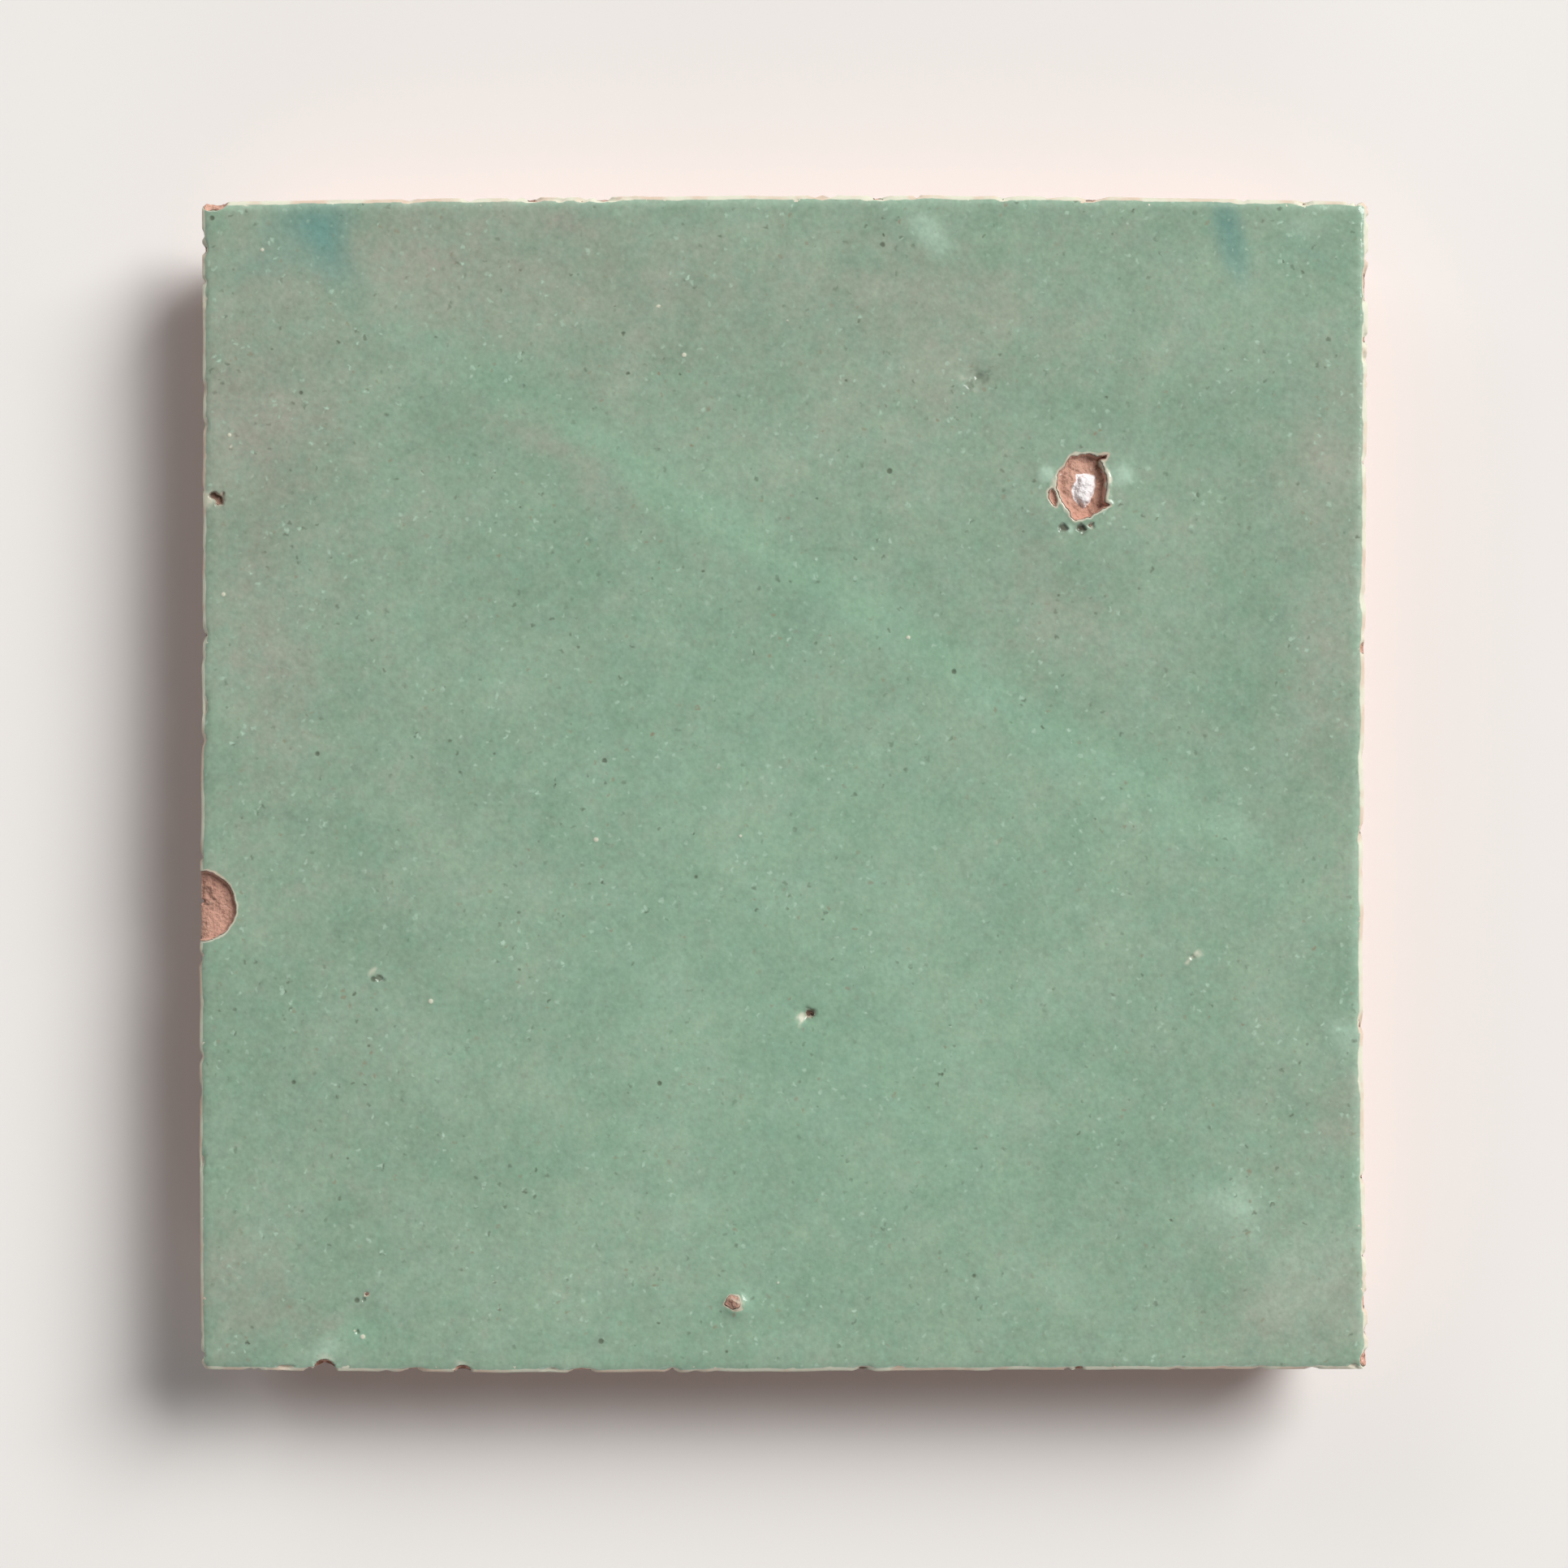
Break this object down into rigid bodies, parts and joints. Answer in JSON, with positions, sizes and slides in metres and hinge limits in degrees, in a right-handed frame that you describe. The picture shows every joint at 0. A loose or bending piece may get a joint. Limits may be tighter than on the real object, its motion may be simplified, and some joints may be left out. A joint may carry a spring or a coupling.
{
  "type": "zellige tile",
  "caption": "Hand-cut square tile of fired clay with a glossy sage-green glazed face, sides hewn to slope in underneath, and a flat bare clay back.",
  "frame": {"origin": "middle of the flat back", "axes": "+Z from the back towards the glazed face; +X towards the picture's right; +Y towards the picture's top"},
  "size_m": [0.0998, 0.1006, 0.0113],
  "materials": {
    "glazed_clay": "sage-green glaze over bare terracotta sides and back"
  },
  "bodies": {
    "root": {"tile": "glazed_clay"}
  },
  "joints": []
}
